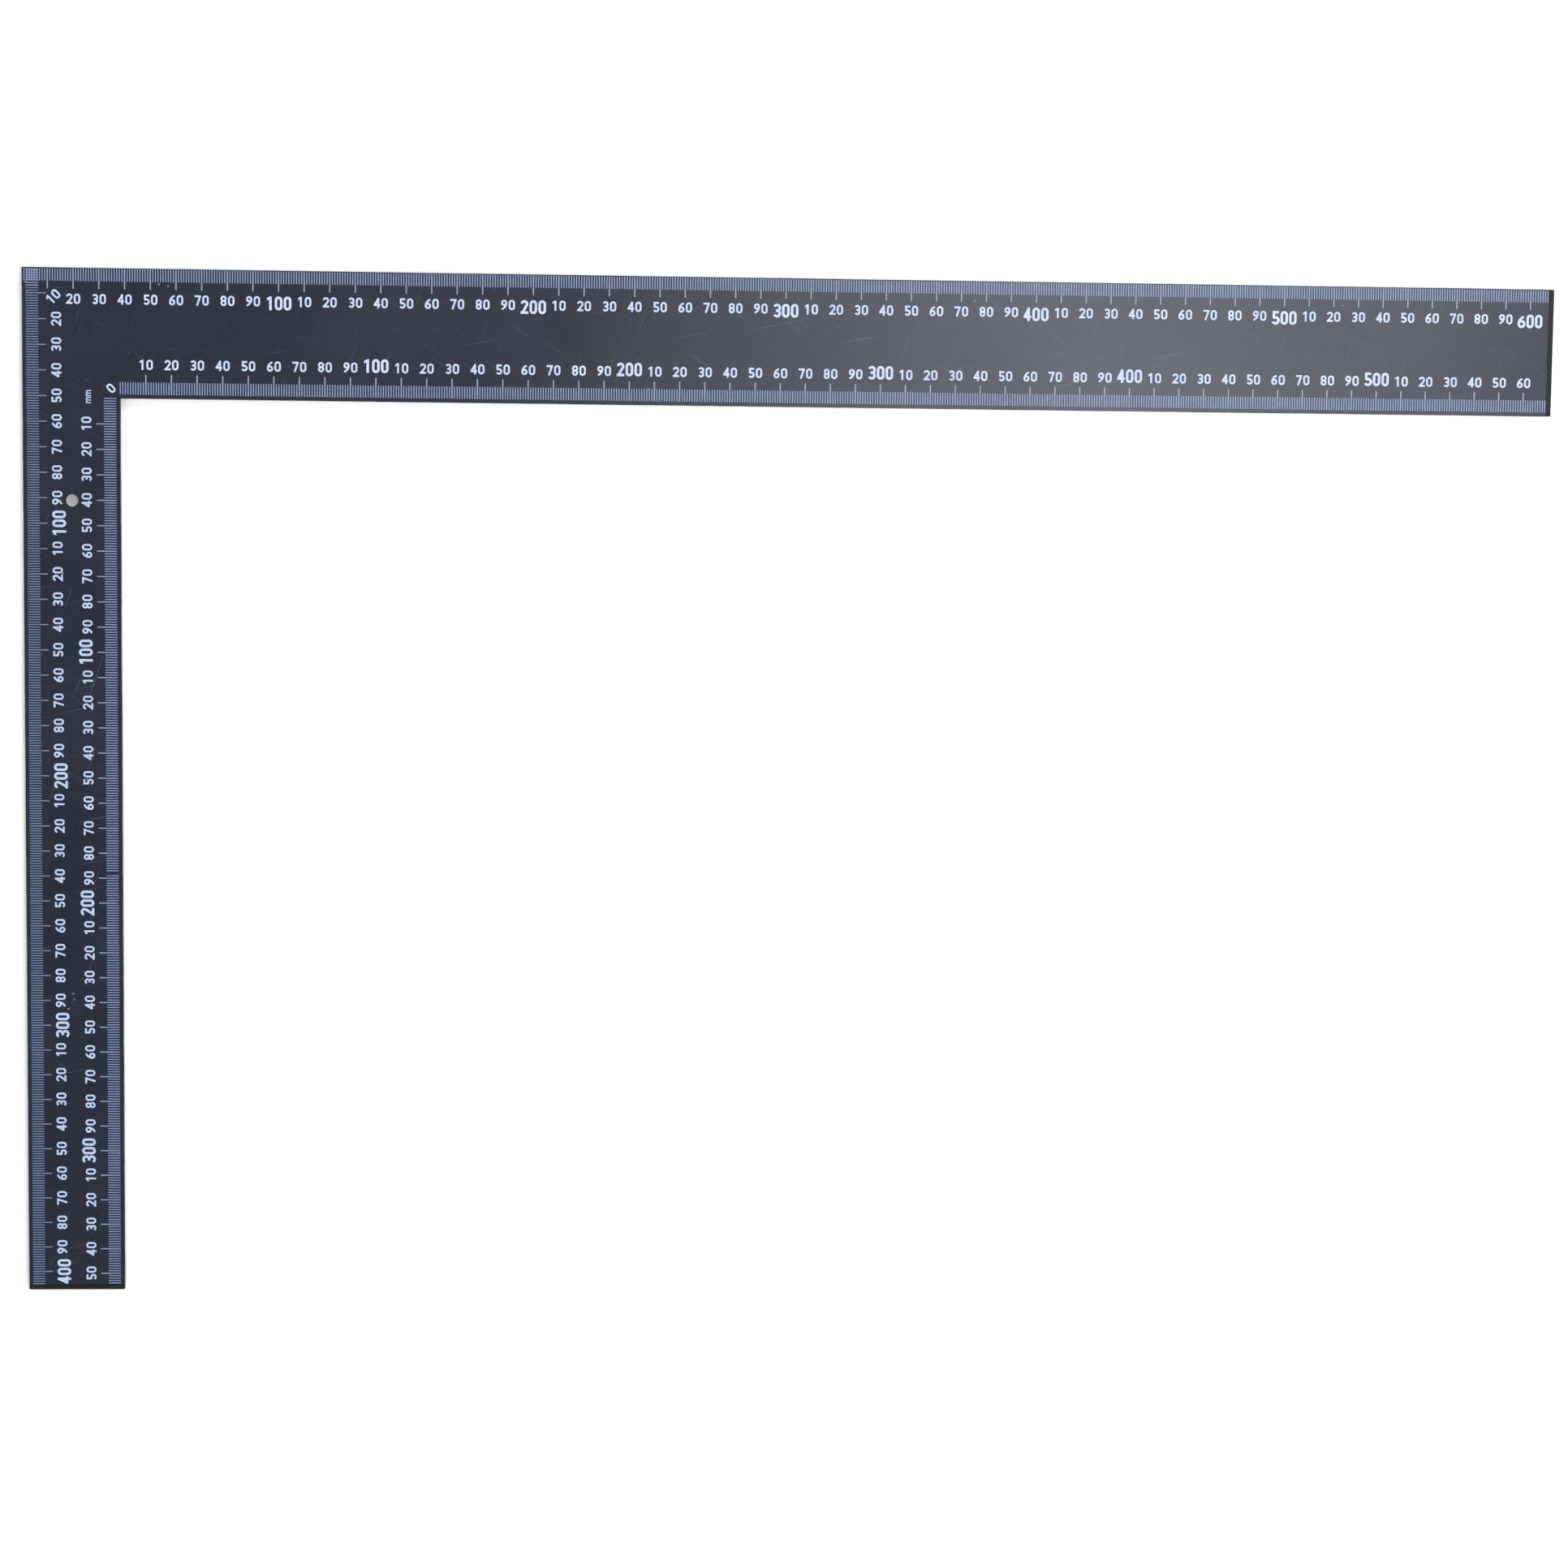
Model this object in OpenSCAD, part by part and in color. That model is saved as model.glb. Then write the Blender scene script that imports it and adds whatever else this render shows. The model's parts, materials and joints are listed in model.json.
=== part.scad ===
// Steel square: an L-shaped steel blank with a black coat, a charcoal face enamel
// and four printed millimetre scales. All sizes are in millimetres.
//
// The square lies face up on Z = 0. The outer corner (the heel) is the origin,
// the long arm runs along +X and the short arm along -Y.

/* [Blank] */
// Length of the long arm, measured along its outer edge
long_length = 609.6; // [320:0.1:1000]
// Width of the long arm
long_width = 50.8; // [45:0.1:80]
// Length of the short arm, measured along its outer edge
short_length = 407.4; // [220:0.1:700]
// Width of the short arm
short_width = 38.1; // [37:0.1:70]
// Thickness of the steel
thickness = 2; // [1:0.1:4]
// Diameter of the hanging hole
hole_d = 5; // [3:0.1:5.6]
// Distance from the outer long edge to the centre of the hanging hole
hole_y = 91; // [60:1:92]

/* [Print layers] */
// Thickness of the charcoal enamel on the face
enamel_thick = 0.05; // [0.03:0.01:0.2]
// Thickness of the white ink on top of the enamel
ink_thick = 0.04; // [0.03:0.01:0.2]
// Bare strip left at the free end of each arm
end_gap = 2.2; // [1:0.1:5]
// Bare strip left along the long edges
side_gap = 0.2; // [0.1:0.1:0.3]

/* [Graduations] */
// Gap from the outer long edge to its lines
near_gap = 0.4; // [0.3:0.1:1]
// Gap from each of the other edges to its lines
far_gap = 1.6; // [1:0.1:2]
// Length of a millimetre line
fine_length = 4.8; // [3:0.1:6]
// Width of a millimetre line
fine_width = 0.3; // [0.15:0.05:0.4]
// Length of a centimetre line
coarse_length = 7.8; // [6:0.1:9]
// Width of a centimetre line
coarse_width = 0.45; // [0.3:0.05:0.6]

/* [Numerals] */
// Gap from the end of a centimetre line to its numeral
numeral_gap = 1.9; // [0.5:0.1:2.5]
// Height of the tens numerals
tens_height = 4; // [3:0.1:4.5]
// Width of one digit in the tens numerals
tens_width = 2.5; // [2:0.1:2.8]
// Height of the hundreds numerals
hundreds_height = 5.4; // [4:0.1:6]
// Width of one digit in the hundreds numerals
hundreds_width = 3; // [2.5:0.1:3.4]
// Stroke of a digit as a share of its height
stroke_share = 0.18; // [0.12:0.01:0.2]
// Gap between two digits
digit_gap = 0.5; // [0.3:0.1:0.8]
// Height of the letters in the unit mark
unit_height = 2; // [1.5:0.1:2.5]

/* [Hidden] */

$fn = 48;
coat_color = [0.08, 0.08, 0.09];
enamel_color = [0.22, 0.24, 0.28];
ink_color = [0.93, 0.95, 0.98];

enamel_top = thickness + enamel_thick;
hole_x = short_width / 2;
hole_rim = 0.4;              // bare ring left round the hanging hole

// Middles of the slanted corner numerals and foot of the unit mark, from their own corner
corner_ten_at = [12.2, -11.4];
corner_zero_at = [-3.6, 4];
unit_mark_at = [-11.4, 0.6];

// Lines of the two outer scales that cross each other at the heel
hatch_count = ceil(far_gap + fine_length);

// A scale is [zero x, zero y, turn, step, inward, edge gap, reach].
// Its own x runs the way its numerals are read and its own y is their upward
// direction. step is +1 where the count grows along x and -1 where it grows
// against x. inward is -1 where the edge is above the numerals, +1 below.
// reach is the enamelled length of the edge, counted from the scale's zero.
outer_long = [0, 0, 0, 1, -1, near_gap, long_length - end_gap];
inner_long = [short_width, -long_width, 0, 1, 1, far_gap, long_length - short_width - end_gap];
outer_short = [0, 0, 90, -1, -1, far_gap, short_length - end_gap];
inner_short = [short_width, -long_width, 90, -1, 1, far_gap, short_length - long_width - end_gap];

// Last millimetre line that fits on a scale
function last_line(scale) = floor(scale[6] - fine_width / 2);

// How wide a number of so many digits is
function number_width(digits, w) = digits * w + (digits - 1) * digit_gap;

// Last count that fits, in steps of so many millimetres, for numerals of a given width
function last_numeral(scale, step, width) = step * floor((scale[6] - width / 2) / step);

// ---------- glyphs, each in a cell w wide and h high with strokes s wide ----------

// Upright bar with round ends
module pill(w, h) {
    r = w / 2;
    translate([r, r]) circle(r);
    translate([r, h - r]) circle(r);
    translate([0, r]) square([w, h - w]);
}

// Part of a ring of outer radius r, counter-clockwise between two angles
module arc_band(r, s, from, to) {
    left_out = 360 - (to - from);
    difference() {
        circle(r);
        circle(r - s);
        polygon(concat([[0, 0]], [
            for (i = [0:4]) 2 * r * [cos(to + left_out * i / 4), sin(to + left_out * i / 4)]
        ]));
    }
}

// Straight stroke between two points, with square ends
module stroke(from, to, s) {
    along = (to - from) / norm(to - from);
    side = [-along[1], along[0]] * s / 2;
    polygon([from + side, from - side, to - side, to + side]);
}

module glyph_zero(w, h, s) {
    difference() {
        pill(w, h);
        translate([s, s]) pill(w - 2 * s, h - 2 * s);
    }
}

module glyph_one(w, h, s) {
    stem = 0.44 * w;
    flag = 0.3 * w;
    polygon([
        [stem, 0], [stem + s, 0], [stem + s, h], [stem + 0.25 * s, h],
        [stem - flag, h - 0.75 * flag], [stem - flag, h - 0.75 * flag - 1.1 * s],
        [stem, h - 1.2 * s]
    ]);
}

module glyph_two(w, h, s) {
    r = w / 2;
    middle = [r, h - r];
    foot = [0.75 * s, 0.5 * s];
    reach = foot - middle;
    // The slanted stroke leaves the arc where the line from the foot touches it
    joint = atan2(reach[1], reach[0]) + acos((r - s / 2) / norm(reach));
    translate(middle) arc_band(r, s, joint - 2, 172);
    stroke(middle + (r - s / 2) * [cos(joint), sin(joint)], foot, s);
    square([w, s]);
}

module glyph_three(w, h, s) {
    bowl = (h + s) / 4;
    translate([w / 2, h - bowl]) arc_band(bowl, s, -90, 155);
    translate([w / 2, bowl]) arc_band(bowl, s, -155, 90);
    translate([0.34 * w, (h - s) / 2]) square([0.3 * w, s]);
}

module glyph_four(w, h, s) {
    bar = 0.22 * h;
    stem = w - 1.55 * s;
    translate([stem, 0]) square([s, h]);
    translate([0, bar]) square([w, s]);
    stroke([0.45 * s, bar + 0.6 * s], [stem + 0.5 * s, h - 0.55 * s], s);
}

module glyph_five(w, h, s) {
    bowl = 0.31 * h;
    left = 0.1 * w;
    translate([left, h - s]) square([0.82 * w, s]);
    translate([left, 0.47 * h]) square([s, 0.53 * h]);
    translate([w / 2, bowl]) arc_band(bowl, s, -155, 140);
}

module glyph_six(w, h, s) {
    bowl = 0.3 * h;
    sweep = 1.18 * w;                // outer radius of the long back stroke
    translate([w / 2, bowl]) difference() {
        circle(bowl);
        circle(bowl - s);
    }
    translate([w / 2 - bowl + sweep, bowl]) arc_band(sweep, s, 109, 188);
}

module glyph_seven(w, h, s) {
    translate([0, h - s]) square([w, s]);
    stroke([w - 0.55 * s, h - 0.5 * s], [0.36 * w, 0], s);
}

module glyph_eight(w, h, s) {
    bowl = (h + s) / 4;
    difference() {
        union() {
            translate([w / 2, bowl]) circle(bowl);
            translate([w / 2, h - bowl]) circle(bowl);
        }
        translate([w / 2, bowl]) circle(bowl - s);
        translate([w / 2, h - bowl]) circle(bowl - s);
    }
}

module digit(value, w, h, s) {
    if (value == 0) glyph_zero(w, h, s);
    if (value == 1) glyph_one(w, h, s);
    if (value == 2) glyph_two(w, h, s);
    if (value == 3) glyph_three(w, h, s);
    if (value == 4) glyph_four(w, h, s);
    if (value == 5) glyph_five(w, h, s);
    if (value == 6) glyph_six(w, h, s);
    if (value == 7) glyph_seven(w, h, s);
    if (value == 8) glyph_eight(w, h, s);
    if (value == 9) translate([w, h]) rotate(180) glyph_six(w, h, s);
}

function digits_of(value) = value < 10 ? [value] : concat(digits_of(floor(value / 10)), [value % 10]);

// A number with its middle at x = 0 and its feet on y = 0
module number(value, w, h) {
    digits = digits_of(value);
    start = -number_width(len(digits), w) / 2;
    for (i = [0:len(digits) - 1])
        translate([start + i * (w + digit_gap), 0]) digit(digits[i], w, h, stroke_share * h);
}

// Small letter m: three stems under two arches
module letter_m(h) {
    s = 0.2 * h;
    arch = 0.7 * h;
    square([s, h]);
    for (x = [0, arch - s])
        translate([x, 0]) intersection() {
            translate([0, -h]) glyph_zero(arch, 2 * h, s);
            square([arch, h]);
        }
}

// ---------- layers ----------

module ink() {
    color(ink_color) translate([0, 0, enamel_top]) linear_extrude(ink_thick) children();
}

// Takes a scale's own axes onto the face
module on_scale(scale) {
    translate([scale[0], scale[1]]) rotate(scale[2]) children();
}

// One line of a scale: at a count of millimetres, with its length and width
module line_at(scale, count, length, width) {
    inner_end = scale[4] * (scale[5] + length);
    outer_end = scale[4] * scale[5];
    translate([scale[3] * count - width / 2, min(inner_end, outer_end)]) square([width, length]);
}

module millimetre_lines(scale, first) {
    ink() on_scale(scale)
        for (count = [first:last_line(scale)])
            if (count % 10 != 0 || count == 0) line_at(scale, count, fine_length, fine_width);
}

module centimetre_lines(scale) {
    ink() on_scale(scale)
        for (count = [10:10:last_line(scale)])
            line_at(scale, count, coarse_length, coarse_width);
}

// Numerals stand on the inner end of their line, or hang below it on an outer scale
module numeral_at(scale, count, value, w, h) {
    depth = scale[5] + coarse_length + numeral_gap;
    feet = scale[4] > 0 ? depth : -depth - h;
    translate([scale[3] * count, feet]) number(value, w, h);
}

module tens_numerals(scale, first) {
    last = last_numeral(scale, 10, number_width(2, tens_width));
    ink() on_scale(scale)
        for (count = [first:10:last])
            if (count % 100 != 0) numeral_at(scale, count, count % 100, tens_width, tens_height);
}

module hundreds_numerals(scale) {
    last = last_numeral(scale, 100, number_width(3, hundreds_width));
    ink() on_scale(scale)
        for (count = [100:100:last])
            numeral_at(scale, count, count, hundreds_width, hundreds_height);
}

// ---------- sub-parts ----------

module steel_blank() {
    color(coat_color) difference() {
        linear_extrude(thickness) polygon([
            [0, 0], [0, -short_length], [short_width, -short_length],
            [short_width, -long_width], [long_length, -long_width], [long_length, 0]
        ]);
        translate([hole_x, -hole_y, -1]) cylinder(d = hole_d, h = thickness + 2);
    }
}

module face_enamel() {
    color(enamel_color) translate([0, 0, thickness]) difference() {
        linear_extrude(enamel_thick) polygon([
            [side_gap, -side_gap],
            [side_gap, -short_length + end_gap],
            [short_width - side_gap, -short_length + end_gap],
            [short_width - side_gap, -long_width + side_gap],
            [long_length - end_gap, -long_width + side_gap],
            [long_length - end_gap, -side_gap]
        ]);
        translate([hole_x, -hole_y, -1]) cylinder(d = hole_d + 2 * hole_rim, h = enamel_thick + 2);
    }
}

// Where the two outer scales start, their lines cross and print as one hatch
module outer_corner_hatch() {
    ink() {
        for (count = [1:hatch_count]) {
            on_scale(outer_long) line_at(outer_long, count, fine_length, fine_width);
            on_scale(outer_short) line_at(outer_short, count, fine_length, fine_width);
        }
    }
}

// A tens numeral turned 45 degrees about its middle
module slanted_numeral(value) {
    rotate(45) translate([0, -tens_height / 2]) number(value, tens_width, tens_height);
}

// The two outer scales share one slanted ten
module outer_corner_ten() {
    ink() translate(corner_ten_at) slanted_numeral(10);
}

// The two inner scales share one slanted zero
module inner_corner_zero() {
    ink() on_scale(inner_long) translate(corner_zero_at) slanted_numeral(0);
}

module unit_mark() {
    first = -1.28 * unit_height;
    pitch = 1.36 * unit_height;
    ink() on_scale(inner_long) translate(unit_mark_at) rotate(90)
        for (x = [first, first + pitch])
            translate([x, 0]) letter_m(unit_height);
}

steel_blank();
face_enamel();
outer_corner_hatch();
outer_corner_ten();
inner_corner_zero();
unit_mark();
millimetre_lines(outer_long, hatch_count + 1);  // outer_long_millimetre_lines
centimetre_lines(outer_long);  // outer_long_centimetre_lines
tens_numerals(outer_long, 20);  // outer_long_tens_numerals
hundreds_numerals(outer_long);  // outer_long_hundreds_numerals
millimetre_lines(inner_long, 0);  // inner_long_millimetre_lines
centimetre_lines(inner_long);  // inner_long_centimetre_lines
tens_numerals(inner_long, 10);  // inner_long_tens_numerals
hundreds_numerals(inner_long);  // inner_long_hundreds_numerals
millimetre_lines(outer_short, hatch_count + 1);  // outer_short_millimetre_lines
centimetre_lines(outer_short);  // outer_short_centimetre_lines
tens_numerals(outer_short, 20);  // outer_short_tens_numerals
hundreds_numerals(outer_short);  // outer_short_hundreds_numerals
millimetre_lines(inner_short, 0);  // inner_short_millimetre_lines
centimetre_lines(inner_short);  // inner_short_centimetre_lines
tens_numerals(inner_short, 10);  // inner_short_tens_numerals
hundreds_numerals(inner_short);  // inner_short_hundreds_numerals
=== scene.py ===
import json
import math
import bpy
import numpy as np
from mathutils import Matrix, Vector
from mathutils.geometry import tessellate_polygon


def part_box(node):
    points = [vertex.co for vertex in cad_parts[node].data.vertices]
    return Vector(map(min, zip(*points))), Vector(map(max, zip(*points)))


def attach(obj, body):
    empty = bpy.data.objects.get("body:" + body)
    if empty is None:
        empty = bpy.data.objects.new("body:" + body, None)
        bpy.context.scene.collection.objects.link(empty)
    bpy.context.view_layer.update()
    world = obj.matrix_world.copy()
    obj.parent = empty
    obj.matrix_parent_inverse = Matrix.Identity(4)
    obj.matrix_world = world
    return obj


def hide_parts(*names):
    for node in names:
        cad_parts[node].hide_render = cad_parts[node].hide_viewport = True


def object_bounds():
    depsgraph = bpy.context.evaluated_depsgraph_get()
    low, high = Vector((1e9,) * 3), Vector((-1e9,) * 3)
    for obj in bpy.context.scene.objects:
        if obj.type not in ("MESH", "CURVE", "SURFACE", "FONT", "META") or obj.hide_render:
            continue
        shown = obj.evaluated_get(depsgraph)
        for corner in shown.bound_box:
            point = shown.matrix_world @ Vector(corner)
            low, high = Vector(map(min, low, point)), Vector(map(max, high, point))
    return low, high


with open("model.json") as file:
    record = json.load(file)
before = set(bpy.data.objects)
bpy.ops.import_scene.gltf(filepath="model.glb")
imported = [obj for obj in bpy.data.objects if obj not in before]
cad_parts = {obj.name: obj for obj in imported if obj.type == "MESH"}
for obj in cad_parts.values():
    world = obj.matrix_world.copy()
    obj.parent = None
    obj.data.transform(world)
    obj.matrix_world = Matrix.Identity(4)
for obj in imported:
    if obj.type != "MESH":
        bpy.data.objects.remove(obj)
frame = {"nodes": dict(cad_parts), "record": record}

mm = 0.001
mmPerMetre = 1000.0
cadLow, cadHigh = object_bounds()
scene = bpy.context.scene
mounts = {mount["name"]: mount for mount in frame["record"]["mounts"]}
print("square: frame loaded,", len(frame["nodes"]), "nodes")


# Small helpers for node trees

def addNode(tree, kind, x, y, **settings):
    node = tree.nodes.new(kind)
    node.location = (x, y)
    for name, value in settings.items():
        setattr(node, name, value)
    return node


def join(tree, source, target):
    tree.links.new(source, target)


def feed(tree, value, socket):
    # A number is set on the socket itself, anything else is linked into it
    if isinstance(value, (int, float)):
        socket.default_value = value
    else:
        join(tree, value, socket)


def startGroup(name, inputs, outputs):
    # An empty group with its sockets; inputs are (name, default), outputs are (name, socket type)
    group = bpy.data.node_groups.new(name, "ShaderNodeTree")
    group.interface.new_socket("Place", in_out="INPUT", socket_type="NodeSocketVector")
    for label, default in inputs:
        socket = group.interface.new_socket(label, in_out="INPUT", socket_type="NodeSocketFloat")
        socket.default_value = default
    for label, kind in outputs:
        group.interface.new_socket(label, in_out="OUTPUT", socket_type=kind)
    start = addNode(group, "NodeGroupInput", -900, 0)
    end = addNode(group, "NodeGroupOutput", 700, 0)
    return group, start, end


def placeGroup(tree, group, place, x, y, **values):
    # Puts a group in a material, fed with the piece's own coordinates
    node = addNode(tree, "ShaderNodeGroup", x, y, node_tree=group, label=group.name)
    join(tree, place, node.inputs["Place"])
    for label, value in values.items():
        node.inputs[label].default_value = value
    return node


def noise(tree, place, scale, x, y, detail=2.0, roughness=0.5):
    node = addNode(tree, "ShaderNodeTexNoise", x, y)
    node.inputs["Detail"].default_value = detail
    node.inputs["Roughness"].default_value = roughness
    join(tree, place, node.inputs["Vector"])
    feed(tree, scale, node.inputs["Scale"])
    return node.outputs["Fac"]


def maths(tree, operation, first, second, x, y, clamp=False):
    node = addNode(tree, "ShaderNodeMath", x, y, operation=operation, use_clamp=clamp)
    for socket, value in zip(node.inputs, (first, second)):
        feed(tree, value, socket)
    return node.outputs[0]


def remap(tree, value, lowIn, highIn, lowOut, highOut, x, y):
    # Straight-line change of range, held at both ends
    node = addNode(tree, "ShaderNodeMapRange", x, y, clamp=True)
    labels = ("From Min", "From Max", "To Min", "To Max")
    for label, limit in zip(labels, (lowIn, highIn, lowOut, highOut)):
        feed(tree, limit, node.inputs[label])
    join(tree, value, node.inputs["Value"])
    return node.outputs["Result"]


def blendColours(tree, share, first, second, x, y):
    # first where share is 0, second where it is 1
    node = addNode(tree, "ShaderNodeMix", x, y, data_type="RGBA")
    join(tree, share, node.inputs["Factor"])
    for label, value in (("A", first), ("B", second)):
        socket = [s for s in node.inputs if s.name == label and s.type == "RGBA"][0]
        if isinstance(value, tuple):
            socket.default_value = (*value, 1.0)
        else:
            join(tree, value, socket)
    return [s for s in node.outputs if s.type == "RGBA"][0]


# Finishes that several materials share

skin = {
    "toothFineness": 4.3,                  # how many times finer the tooth is than the waves
    "clouds": 22.0,                        # thick and thin patches to the metre
    "cloudRange": (0.3, 0.7),              # where most of a soft noise's values lie
}


def makeGrain():
    # Height of a sprayed or printed skin: soft waves with a finer tooth on top
    group, start, end = startGroup("skinGrain", [("Size", 0.8), ("Tooth", 0.35)],
                                   [("Height", "NodeSocketFloat"), ("Cloud", "NodeSocketFloat")])
    perMetre = maths(group, "DIVIDE", mmPerMetre, start.outputs["Size"], -700, -200)
    waves = noise(group, start.outputs["Place"], perMetre, -500, 100, detail=1.5)
    finer = maths(group, "MULTIPLY", perMetre, skin["toothFineness"], -500, -300)
    tooth = noise(group, start.outputs["Place"], finer, -300, -100, detail=3.0, roughness=0.6)
    toothPart = maths(group, "MULTIPLY", tooth, start.outputs["Tooth"], -100, -100)
    join(group, maths(group, "ADD", waves, toothPart, 100, 0), end.inputs["Height"])
    cloud = noise(group, start.outputs["Place"], skin["clouds"], -300, 300, detail=4.0, roughness=0.6)
    join(group, cloud, end.inputs["Cloud"])
    return group


specks = {
    "radius": (0.03, 0.09),                # full inside the first, gone at the second, in cells
    "patches": 60.0,                       # dusty patches to the metre
}


def makeDust():
    # Mask of loose specks: the middles of a cell pattern, kept where a second noise is high
    group, start, end = startGroup("dustSpecks", [("Spacing", 4.0), ("Cover", 0.4)],
                                   [("Mask", "NodeSocketFloat")])
    perMetre = maths(group, "DIVIDE", mmPerMetre, start.outputs["Spacing"], -700, -200)
    cells = addNode(group, "ShaderNodeTexVoronoi", -500, 100)
    join(group, start.outputs["Place"], cells.inputs["Vector"])
    join(group, perMetre, cells.inputs["Scale"])
    speck = remap(group, cells.outputs["Distance"], *specks["radius"], 1.0, 0.0, -200, 100)
    patches = noise(group, start.outputs["Place"], specks["patches"], -500, -250, detail=3.0)
    edge = maths(group, "SUBTRACT", 1.0, start.outputs["Cover"], -300, -450)
    kept = maths(group, "GREATER_THAN", patches, edge, -100, -250)
    join(group, maths(group, "MULTIPLY", speck, kept, 200, 0), end.inputs["Mask"])
    return group


scratches = {
    "sets": ((12.0, 38.0, 0.8), (-34.0, 22.0, 0.6), (71.0, 26.0, 0.7)),     # degrees, mm long, mm wide
    "shift": (0.37, -0.21),                # metres between one set's noise and the next
    "kept": (0.71, 0.78),                  # only the noise's highest values make a mark
}


def makeScratches():
    # Mask of hairline marks: sets of long thin noise, each turned its own way
    group, start, end = startGroup("hairlines", [("Amount", 0.5)], [("Mask", "NodeSocketFloat")])
    shiftX, shiftY = scratches["shift"]
    most = 0.0
    for row, (turn, length, width) in enumerate(scratches["sets"]):
        y = 350 - 350 * row
        turned = addNode(group, "ShaderNodeMapping", -700, y, vector_type="TEXTURE")
        turned.inputs["Location"].default_value = (shiftX * row, shiftY * row, 0.0)
        turned.inputs["Rotation"].default_value = (0.0, 0.0, math.radians(turn))
        turned.inputs["Scale"].default_value = (length * mm, width * mm, 1.0)
        join(group, start.outputs["Place"], turned.inputs["Vector"])
        line = noise(group, turned.outputs["Vector"], 1.0, -450, y, detail=1.0)
        mark = remap(group, line, *scratches["kept"], 0.0, 1.0, -200, y)
        most = maths(group, "MAXIMUM", mark, most, 100, 200 - 200 * row)
    weakened = maths(group, "MULTIPLY", most, start.outputs["Amount"], 300, 0, clamp=True)
    join(group, weakened, end.inputs["Mask"])
    return group


wear = {
    "patches": 34.0,                       # more and less rubbed stretches to the metre
    "bare": (1.42, 1.56),                  # nearness plus noise, from the first bare spot to all bare
}


def makeEdgeWear():
    # Mask of rubbed edges: nearness plus reach times the sum of two noises, cut off at a level
    group, start, end = startGroup("edgeRub", [("Nearness", 0.0), ("Reach", 0.5), ("Grain", 1.6)],
                                   [("Mask", "NodeSocketFloat")])
    perMetre = maths(group, "DIVIDE", mmPerMetre, start.outputs["Grain"], -700, -200)
    breakUp = noise(group, start.outputs["Place"], perMetre, -500, -100, detail=4.0, roughness=0.65)
    patches = noise(group, start.outputs["Place"], wear["patches"], -500, -350, detail=2.0)
    both = maths(group, "ADD", breakUp, patches, -300, -200)
    pushed = maths(group, "MULTIPLY", both, start.outputs["Reach"], -100, -200)
    raised = maths(group, "ADD", start.outputs["Nearness"], pushed, 100, 0)
    join(group, remap(group, raised, *wear["bare"], 0.0, 1.0, 300, 0), end.inputs["Mask"])
    return group


upwardRate = 0.06                          # how fast the streaks change upwards, beside along the edge


def makeShearMarks():
    # Height of upright streaks: noise that changes along the edge and hardly over the thickness
    group, start, end = startGroup("shearMarks", [("Pitch", 0.25)], [("Height", "NodeSocketFloat")])
    perMetre = maths(group, "DIVIDE", mmPerMetre, start.outputs["Pitch"], -700, -200)
    upright = addNode(group, "ShaderNodeMapping", -700, 100)
    upright.inputs["Scale"].default_value = (1.0, 1.0, upwardRate)
    join(group, start.outputs["Place"], upright.inputs["Vector"])
    streaks = noise(group, upright.outputs["Vector"], perMetre, -400, 0, detail=2.0, roughness=0.6)
    join(group, streaks, end.inputs["Height"])
    return group


skinGrain = makeGrain()
shearMarks = makeShearMarks()
dustSpecks = makeDust()
hairlines = makeScratches()
edgeRub = makeEdgeWear()
print("square: shared finishes ready")


# Materials

def startMaterial(name):
    material = bpy.data.materials.new(name)
    material.use_nodes = True
    tree = material.node_tree
    tree.nodes.clear()
    output = addNode(tree, "ShaderNodeOutputMaterial", 900, 0)
    shader = addNode(tree, "ShaderNodeBsdfPrincipled", 600, 0)
    join(tree, shader.outputs["BSDF"], output.inputs["Surface"])
    place = addNode(tree, "ShaderNodeTexCoord", -1300, 0).outputs["Object"]
    return material, tree, shader, place


def addBump(tree, shader, height, strength, distance, x, y):
    bump = addNode(tree, "ShaderNodeBump", x, y)
    bump.inputs["Strength"].default_value = strength
    bump.inputs["Distance"].default_value = distance
    join(tree, height, bump.inputs["Height"])
    join(tree, bump.outputs["Normal"], shader.inputs["Normal"])


coat = {
    "dark": (0.006, 0.006, 0.008),         # black coat in its thicker parts
    "thin": (0.013, 0.013, 0.016),         # the same where it is thinner
    "steel": (0.36, 0.355, 0.345),         # bare steel where the edge is rubbed
    "grainSize": 0.7,                      # mm from wave to wave of the coat's skin
    "rub": 0.50,                           # how far the rubbing reaches
    "scuffed": (0.060, 0.060, 0.062),      # hairline marks
    "hairlines": 0.6,
    "dust": (0.16, 0.15, 0.14),
    "specular": 0.33,
    "shearPitch": 0.35,                    # mm from streak to streak on the sheared edge
    "shearDepth": 7.0,                     # beside the skin's own height of 1
    "shearRange": (0.1, 0.5),              # the streaks set in between these values of edgeNear
    "tooth": 0.4,
    "dustSpacing": 5.0,                    # mm
    "dustCover": 0.42,
    "rubGrain": 1.3,                       # mm
    "roughness": (0.40, 0.52),
    "bump": (0.35, 0.02 * mm),             # strength, and height in metres
}


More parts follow.
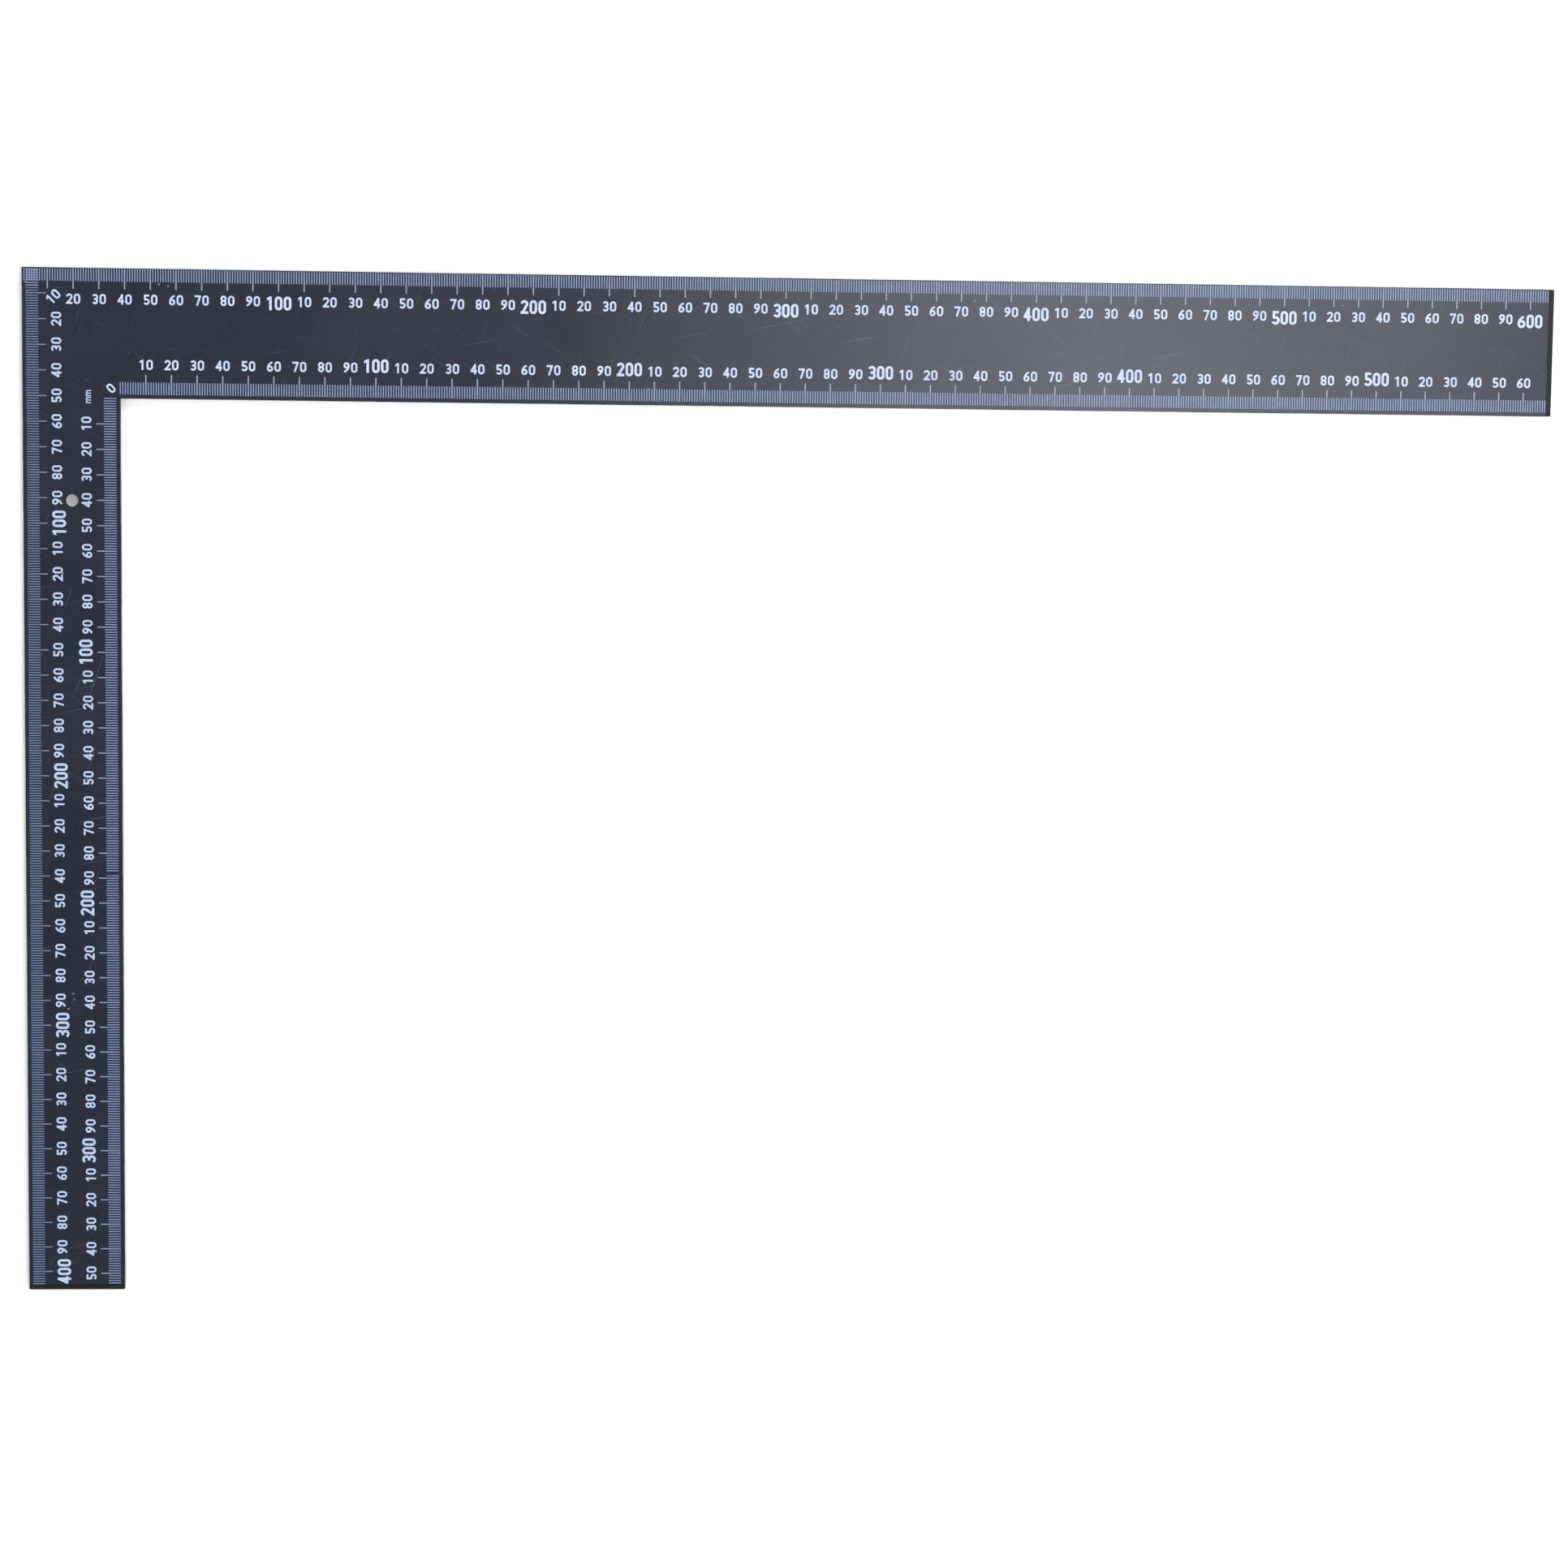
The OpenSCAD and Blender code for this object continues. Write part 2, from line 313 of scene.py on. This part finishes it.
def makeBlackCoat():
    material, tree, shader, place = startMaterial("blackCoat")
    grain = placeGroup(tree, skinGrain, place, -1000, 200, Size=coat["grainSize"], Tooth=coat["tooth"])
    dust = placeGroup(tree, dustSpecks, place, -1000, 0,
                      Spacing=coat["dustSpacing"], Cover=coat["dustCover"])
    near = addNode(tree, "ShaderNodeAttribute", -1300, -300, attribute_name="edgeNear")
    rub = placeGroup(tree, edgeRub, place, -1000, -250, Reach=coat["rub"], Grain=coat["rubGrain"])
    join(tree, near.outputs["Fac"], rub.inputs["Nearness"])
    lines = placeGroup(tree, hairlines, place, -1000, -500, Amount=coat["hairlines"])
    body = blendColours(tree, grain.outputs["Cloud"], coat["dark"], coat["thin"], -600, 250)
    marked = blendColours(tree, lines.outputs["Mask"], body, coat["scuffed"], -500, 0)
    dusty = blendColours(tree, dust.outputs["Mask"], marked, coat["dust"], -400, 200)
    worn = blendColours(tree, rub.outputs["Mask"], dusty, coat["steel"], -200, 150)
    join(tree, worn, shader.inputs["Base Color"])
    join(tree, rub.outputs["Mask"], shader.inputs["Metallic"])
    shader.inputs["Specular IOR Level"].default_value = coat["specular"]
    satin = remap(tree, grain.outputs["Cloud"], *skin["cloudRange"], *coat["roughness"], -400, -100)
    join(tree, satin, shader.inputs["Roughness"])
    streaks = placeGroup(tree, shearMarks, place, -1000, -700, Pitch=coat["shearPitch"])
    onEdge = remap(tree, near.outputs["Fac"], *coat["shearRange"], 0.0, coat["shearDepth"], -800, -700)
    cut = maths(tree, "MULTIPLY", streaks.outputs["Height"], onEdge, -600, -700)
    height = maths(tree, "ADD", grain.outputs["Height"], cut, -200, -500)
    addBump(tree, shader, height, *coat["bump"], 200, -300)
    return material


enamel = {
    "deep": (0.0095, 0.0120, 0.0220),      # charcoal enamel where it is thickest
    "pale": (0.0190, 0.0230, 0.0400),      # and where it is thinnest
    "grainSize": 1.1,
    "roughness": (0.27, 0.34),             # satin, a little uneven
    "fleck": (0.085, 0.090, 0.105),        # pale pigment grains
    "scuffed": (0.100, 0.105, 0.120),
    "hairlines": 0.4,
    "dust": (0.22, 0.215, 0.205),
    "tooth": 0.5,
    "dustSpacing": 6.0,                    # mm
    "dustCover": 0.40,
    "flecks": 2600.0,                      # pigment grains to the metre
    "fleckRange": (0.62, 0.72),            # only the noise's highest values make a grain
    "fleckShare": 0.35,                    # how far a grain hides the enamel
    "smudges": 11.0,                       # smoother and rougher patches to the metre
    "bump": (0.3, 0.02 * mm),              # strength, and height in metres
}


def makeCharcoalEnamel():
    material, tree, shader, place = startMaterial("charcoalEnamel")
    grain = placeGroup(tree, skinGrain, place, -1000, 250, Size=enamel["grainSize"], Tooth=enamel["tooth"])
    dust = placeGroup(tree, dustSpecks, place, -1000, 50,
                      Spacing=enamel["dustSpacing"], Cover=enamel["dustCover"])
    lines = placeGroup(tree, hairlines, place, -1000, -150, Amount=enamel["hairlines"])
    body = blendColours(tree, grain.outputs["Cloud"], enamel["deep"], enamel["pale"], -600, 250)
    fleck = noise(tree, place, enamel["flecks"], -1000, 500, detail=2.0)
    fleckMask = remap(tree, fleck, *enamel["fleckRange"], 0.0, enamel["fleckShare"], -800, 500)
    flecked = blendColours(tree, fleckMask, body, enamel["fleck"], -400, 300)
    marked = blendColours(tree, lines.outputs["Mask"], flecked, enamel["scuffed"], -200, 250)
    dusty = blendColours(tree, dust.outputs["Mask"], marked, enamel["dust"], 0, 200)
    join(tree, dusty, shader.inputs["Base Color"])
    smudge = noise(tree, place, enamel["smudges"], -1000, -350, detail=3.0, roughness=0.55)
    satin = remap(tree, smudge, *skin["cloudRange"], *enamel["roughness"], -600, -300)
    join(tree, satin, shader.inputs["Roughness"])
    addBump(tree, shader, grain.outputs["Height"], *enamel["bump"], 200, -300)
    return material


ink = {
    "full": (0.50, 0.55, 0.70),            # white ink, faintly blue
    "starved": (0.32, 0.37, 0.50),         # where the screen left less of it
    "grainSize": 0.35,
    "pinholes": 0.55,                      # how far the enamel shows through the pinholes
    "missedLine": 188,                     # the inner short scale's line that barely printed
    "missedWidth": 0.5 * mm,               # to each side of that line's middle
    "tooth": 0.6,
    "patches": 240.0,                      # fuller and thinner patches to the metre
    "patchRange": (0.35, 0.75),
    "mostStarved": 0.55,                   # the thinnest patch is this far from full to starved
    "pores": 3300.0,                       # to the metre
    "poreRange": (0.27, 0.34),             # only the noise's lowest values make a pinhole
    "roughness": (0.55, 0.7),
    "bump": (0.4, 0.01 * mm),              # strength, and height in metres
}


def makeWhiteInk(name, tone, missedAt=None):
    # tone is what the screen left of the ink: 1 for full numerals, less and bluer for hair-thin lines.
    # missedAt is the Y of a line that barely printed.
    material, tree, shader, place = startMaterial(name)
    grain = placeGroup(tree, skinGrain, place, -1000, 250, Size=ink["grainSize"], Tooth=ink["tooth"])
    patchy = noise(tree, place, ink["patches"], -1000, -100, detail=3.0, roughness=0.6)
    shortage = remap(tree, patchy, *ink["patchRange"], 0.0, ink["mostStarved"], -700, -100)
    full, starved = (tuple(a * b for a, b in zip(ink[key], tone)) for key in ("full", "starved"))
    body = blendColours(tree, shortage, full, starved, -400, 200)
    pores = noise(tree, place, ink["pores"], -1000, 550, detail=1.0)
    bare = remap(tree, pores, *ink["poreRange"], ink["pinholes"], 0.0, -700, 550)
    if missedAt is not None:
        split = addNode(tree, "ShaderNodeSeparateXYZ", -1000, 800)
        join(tree, place, split.inputs["Vector"])
        apart = addNode(tree, "ShaderNodeMath", -800, 800, operation="COMPARE")
        join(tree, split.outputs["Y"], apart.inputs[0])
        apart.inputs[1].default_value = missedAt
        apart.inputs[2].default_value = ink["missedWidth"]
        bare = maths(tree, "MAXIMUM", bare, apart.outputs[0], -500, 700)
    body = blendColours(tree, bare, body, enamel["pale"], -200, 300)
    join(tree, body, shader.inputs["Base Color"])
    matt = remap(tree, grain.outputs["Cloud"], *skin["cloudRange"], *ink["roughness"], -400, -250)
    join(tree, matt, shader.inputs["Roughness"])
    addBump(tree, shader, grain.outputs["Height"], *ink["bump"], 200, -300)
    return material


blackCoat = makeBlackCoat()
charcoalEnamel = makeCharcoalEnamel()
inkTone = {
    "numerals": (1.02, 1.04, 1.06),
    "short_numerals": (0.84, 0.94, 0.98),
    "long_fine": (0.58, 0.67, 0.83),
    "long_coarse": (0.52, 0.58, 0.61),
    "inner_short_fine": (0.48, 0.56, 0.74),
    "inner_short_coarse": (0.42, 0.46, 0.50),
    "outer_short_fine": (0.31, 0.45, 0.56),
    "outer_short_coarse": (0.30, 0.34, 0.39),
}
# The inner short scale counts down from the long arm's inner edge
missedPlaces = {"inner_short_fine": mounts["inner_long_edge"]["pos_m"][1] - ink["missedLine"] * mm}
whiteInks = {}
for name, tone in inkTone.items():
    whiteInks[name] = makeWhiteInk("whiteInk_" + name, tone, missedPlaces.get(name))
print("square: materials ready")


# The steel blank, with rolled edges and eased corners

blank = {
    "cornerRadius": 0.30 * mm,      # plan radius of the six corners
    "leastRadius": 0.08 * mm,       # and of the rings drawn further in than that
    "edgeRoll": 0.17 * mm,          # radius where the face turns down into the edge
    "rollSteps": 4,
    "cornerSteps": 5,
    "holeSteps": 64,
    "wearBand": 1.4 * mm,           # the wear mask fades out this far from an edge
    "shoulder": 2.5,                # the ring beside the roll is this many rolls from the sharp corner
    "rollWear": (0.8, 0.2),         # how exposed the roll is at its ends, and how much more midway
    "shoulderWear": 0.6,
    "wallWear": 0.35,               # how exposed the middle of the sheared edge is
}


def outlineRing(inset, corners):
    # A point on a corner is its arc's centre plus (radius minus inset) along the turned normal;
    # the inner corner's arc lies outside the steel, so there the inset is added. Further in than the
    # corner's radius, the centre moves in along the diagonal and the arc keeps its least radius.
    here = np.asarray(corners, float)
    before = here - np.roll(here, 1, axis=0)
    after = np.roll(here, -1, axis=0) - here
    before /= np.linalg.norm(before, axis=1, keepdims=True)
    after /= np.linalg.norm(after, axis=1, keepdims=True)
    leftIn = np.stack([-before[:, 1], before[:, 0]], axis=1)
    leftOut = np.stack([-after[:, 1], after[:, 0]], axis=1)
    bend = np.sign(before[:, 0] * after[:, 1] - before[:, 1] * after[:, 0])[:, None]
    deepest = max(blank["cornerRadius"], inset + blank["leastRadius"])
    setback = np.where(bend > 0, deepest, blank["cornerRadius"])
    centre = here + bend * setback * (leftIn + leftOut)
    turn = np.linspace(0.0, math.pi / 2, blank["cornerSteps"] + 1)[None, :, None]
    reach = (setback - bend * inset)[:, :, None]
    arcs = centre[:, None, :] - bend[:, :, None] * reach * (
        leftIn[:, None, :] * np.cos(turn) + leftOut[:, None, :] * np.sin(turn))
    return arcs.reshape(-1, 2)


def holeRing(inset, centre, radius, steps):
    # A circle that grows with the inset, walked clockwise so that the steel is on its left
    turn = -2 * math.pi * np.arange(steps) / steps
    return np.asarray(centre) + (radius + inset) * np.stack([np.cos(turn), np.sin(turn)], axis=1)


def makeSteelBlank():
    low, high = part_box("steel_blank")
    longWidth = -mounts["inner_long_edge"]["pos_m"][1]
    shortWidth = mounts["inner_short_edge"]["pos_m"][0]
    hole = mounts["hang_hole"]
    corners = [(low.x, high.y), (low.x, low.y), (shortWidth, low.y),
               (shortWidth, -longWidth), (high.x, -longWidth), (high.x, high.y)]
    roll = blank["edgeRoll"]
    shoulder = blank["shoulder"] * roll
    endWear, midWear = blank["rollWear"]
    quarter = np.linspace(0.0, math.pi / 2, blank["rollSteps"] + 1)
    # Half the profile, from the face over the rolled edge to the middle of the edge: how far in from
    # the outline, how high, and how much the edge is exposed to rubbing. The other half mirrors it.
    middle = (high.z + low.z) / 2
    insets = np.concatenate([[blank["wearBand"], shoulder],
                             roll * (1 - np.sin(quarter)),
                             [0.0, 0.0]])
    heights = np.concatenate([[high.z, high.z],
                              high.z - roll * (1 - np.cos(quarter)),
                              [high.z - shoulder, middle]])
    nearness = np.concatenate([[0.0, blank["shoulderWear"]],
                               endWear + midWear * np.sin(2 * quarter),
                               [blank["shoulderWear"], blank["wallWear"]]])
    insets, nearness = (np.concatenate([half, half[-2::-1]]) for half in (insets, nearness))
    heights = np.concatenate([heights, (2 * middle - heights)[-2::-1]])
    holeRadius = hole["dims"]["r_mm"] * mm
    outer = [outlineRing(inset, corners) for inset in insets]
    inner = [holeRing(inset, hole["pos_m"][:2], holeRadius, blank["holeSteps"]) for inset in insets]
    points = []
    faces = []
    near = []
    caps = []
    count = 0
    for plans in (outer, inner):
        rings = np.stack([np.column_stack([plan, np.full(len(plan), z)]) for plan, z in zip(plans, heights)])
        rows, columns = rings.shape[:2]
        number = count + np.arange(rows * columns).reshape(rows, columns)
        beside = np.roll(number, -1, axis=1)
        quads = np.stack([number[1:], beside[1:], beside[:-1], number[:-1]], axis=-1).reshape(-1, 4)
        points.append(rings.reshape(-1, 3))
        near.append(np.repeat(nearness, columns))
        faces += quads.tolist()
        caps.append((number[0], number[-1]))
        count += rows * columns
    points = np.concatenate(points)
    # One filling with the hole left open serves the face and, turned over, the back
    topLoop = np.concatenate([caps[0][0], caps[1][0]])
    backLoop = np.concatenate([caps[0][1], caps[1][1]])
    filled = np.array(tessellate_polygon([[Vector(points[i]) for i in cap[0]] for cap in caps]))
    a, b, c = (points[topLoop[filled[:, k]]] for k in range(3))
    turnedDown = np.cross(b - a, c - a)[:, 2] < 0
    filled[turnedDown] = filled[turnedDown][:, ::-1]
    faces += topLoop[filled].tolist() + backLoop[filled[:, ::-1]].tolist()

    mesh = bpy.data.meshes.new("steelBlank")
    mesh.from_pydata(points.tolist(), [], faces)
    mesh.update()
    attribute = mesh.attributes.new("edgeNear", "FLOAT", "POINT")
    attribute.data.foreach_set("value", np.concatenate(near).astype(np.float32))
    mesh.polygons.foreach_set("use_smooth", np.ones(len(mesh.polygons), bool))
    piece = bpy.data.objects.new("steelBlank", mesh)
    scene.collection.objects.link(piece)
    mesh.materials.append(blackCoat)
    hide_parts("steel_blank")
    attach(piece, "root")
    return piece


steelBlank = makeSteelBlank()
print("square: steel blank,", len(steelBlank.data.polygons), "faces")


# Finishes on the enamel and the printed marks

def finish(name, material):
    piece = frame["nodes"][name]
    piece.data.materials.clear()
    piece.data.materials.append(material)


finish("face_enamel", charcoalEnamel)
for nodeName in frame["nodes"]:
    if nodeName in ("steel_blank", "face_enamel"):
        continue
    kind = "short_numerals" if "_short_" in nodeName or nodeName == "unit_mark" else "numerals"
    if nodeName.endswith("_lines"):
        edge = nodeName.split("_")[0] + "_short_" if "_short_" in nodeName else "long_"
        kind = edge + ("coarse" if "_centimetre_" in nodeName else "fine")
    if nodeName.endswith("_hatch"):
        kind = "long_fine"
    finish(nodeName, whiteInks[kind])
print("square: printed layers finished")


# Floor, light and camera

stage = {
    "floorRadius": 1.0,
    "floorSteps": 96,
    "floorDrop": 0.05 * mm,                # just under the blank's back
    "floorColour": (0.93, 0.93, 0.93),
    "wallLight": 0.60,                     # light from the walls all round
    "wallTop": (0.15, 0.85),               # it fades to the dim ceiling between these heights
    "ceilingLight": 0.10,
    "backdrop": 1.05,                      # the white that is seen behind the square
    "clouds": 1.5,                         # soft shades to the metre of floor
    "leastShade": 0.97,
    "roughness": 0.9,
    "specular": 0.1,
}


def makeFloor():
    # A flat round sheet under the middle of the square, one point for each step round its rim
    turn = 2 * math.pi * np.arange(stage["floorSteps"]) / stage["floorSteps"]
    middle = (cadLow + cadHigh) / 2
    rim = np.column_stack([middle.x + stage["floorRadius"] * np.cos(turn),
                           middle.y + stage["floorRadius"] * np.sin(turn),
                           np.full(len(turn), cadLow.z - stage["floorDrop"])])
    mesh = bpy.data.meshes.new("floor")
    mesh.from_pydata(rim.tolist(), [], [list(range(len(rim)))])
    floor = bpy.data.objects.new("floor", mesh)
    scene.collection.objects.link(floor)
    material, tree, shader, place = startMaterial("paleFloor")
    clouds = noise(tree, place, stage["clouds"], -900, 0)
    shade = remap(tree, clouds, 0.0, 1.0, stage["leastShade"], 1.0, -600, 0)
    tint = addNode(tree, "ShaderNodeVectorMath", -300, 0, operation="SCALE")
    tint.inputs[0].default_value = stage["floorColour"]
    join(tree, shade, tint.inputs["Scale"])
    join(tree, tint.outputs["Vector"], shader.inputs["Base Color"])
    shader.inputs["Roughness"].default_value = stage["roughness"]
    shader.inputs["Specular IOR Level"].default_value = stage["specular"]
    mesh.materials.append(material)


def makeWalls():
    world = bpy.data.worlds.new("studio")
    scene.world = world
    world.use_nodes = True
    tree = world.node_tree
    tree.nodes.clear()
    output = addNode(tree, "ShaderNodeOutputWorld", 600, 0)
    back = addNode(tree, "ShaderNodeBackground", 400, 0)
    place = addNode(tree, "ShaderNodeTexCoord", -600, 0)
    split = addNode(tree, "ShaderNodeSeparateXYZ", -400, 0)
    join(tree, place.outputs["Generated"], split.inputs["Vector"])
    level = remap(tree, split.outputs["Z"], *stage["wallTop"],
                  stage["wallLight"], stage["ceilingLight"], -200, 0)
    seen = addNode(tree, "ShaderNodeLightPath", -200, 400).outputs["Is Camera Ray"]
    strength = remap(tree, seen, 0.0, 1.0, level, stage["backdrop"], 100, 100)
    join(tree, strength, back.inputs["Strength"])
    back.inputs["Color"].default_value = (1.0, 1.0, 1.0, 1.0)
    join(tree, back.outputs["Background"], output.inputs["Surface"])


softboxes = [
    # name, place, what it faces, width, height, power in watts, colour
    ("boxOverhead", (0.66, 0.03, 1.30), (0.66, 0.03, 0.0), 0.58, 0.80, 6.7, (0.92, 0.94, 1.0)),
    ("boxRight", (2.1, -0.2, 0.80), (0.3, -0.2, 0.0), 1.4, 0.6, 32.0, (1.0, 1.0, 1.0)),
    ("boxLeft", (-1.5, -0.2, 0.80), (0.3, -0.2, 0.0), 1.4, 0.6, 15.0, (1.0, 1.0, 1.0)),
    ("boxFront", (0.3, -2.0, 0.80), (0.3, -0.2, 0.0), 1.4, 0.6, 26.0, (1.0, 1.0, 1.0)),
    ("boxBack", (0.3, 1.6, 0.80), (0.3, -0.2, 0.0), 1.4, 0.6, 26.0, (1.0, 1.0, 1.0)),
]
mirrored = ("boxOverhead", "boxLeft")      # the others light the square but don't mirror in it


def facing(place, aim, roll=0.0):
    # Looks from place to aim with the long arm's side of the bench, +Y, upwards, then turned by roll
    back = (Vector(place) - Vector(aim)).normalized()
    side = Vector((0.0, 1.0, 0.0)).cross(back).normalized()
    up = back.cross(side)
    turn = Matrix((side, up, back)).transposed().to_4x4()
    return Matrix.Translation(place) @ turn @ Matrix.Rotation(math.radians(roll), 4, "Z")


def makeSoftboxes():
    for name, place, aim, width, height, power, colour in softboxes:
        light = bpy.data.lights.new(name, "AREA")
        light.shape = "RECTANGLE"
        light.size = width
        light.size_y = height
        light.energy = power
        light.color = colour
        lamp = bpy.data.objects.new(name, light)
        lamp.matrix_world = facing(place, aim)
        lamp.visible_camera = False
        lamp.visible_glossy = name in mirrored
        scene.collection.objects.link(lamp)


camera = {
    "place": (0.2113, -0.0688, 1.4280),
    "aim": (0.3015, -0.2015, 0.0020),
    "roll": 0.680,                          # degrees, anticlockwise
    "lens": 81.97,
    "sensor": 36.0,
    "near": 0.01,
    "far": 100.0,
}


def makeCamera():
    data = bpy.data.cameras.new("camera")
    data.sensor_fit = "HORIZONTAL"
    data.sensor_width = camera["sensor"]
    data.lens = camera["lens"]
    data.clip_start = camera["near"]
    data.clip_end = camera["far"]
    view = bpy.data.objects.new("camera", data)
    view.matrix_world = facing(camera["place"], camera["aim"], camera["roll"])
    scene.collection.objects.link(view)
    scene.camera = view


makeFloor()
makeWalls()
makeSoftboxes()
makeCamera()
scene.view_settings.view_transform = "Standard"
print("square: floor, light and camera set")
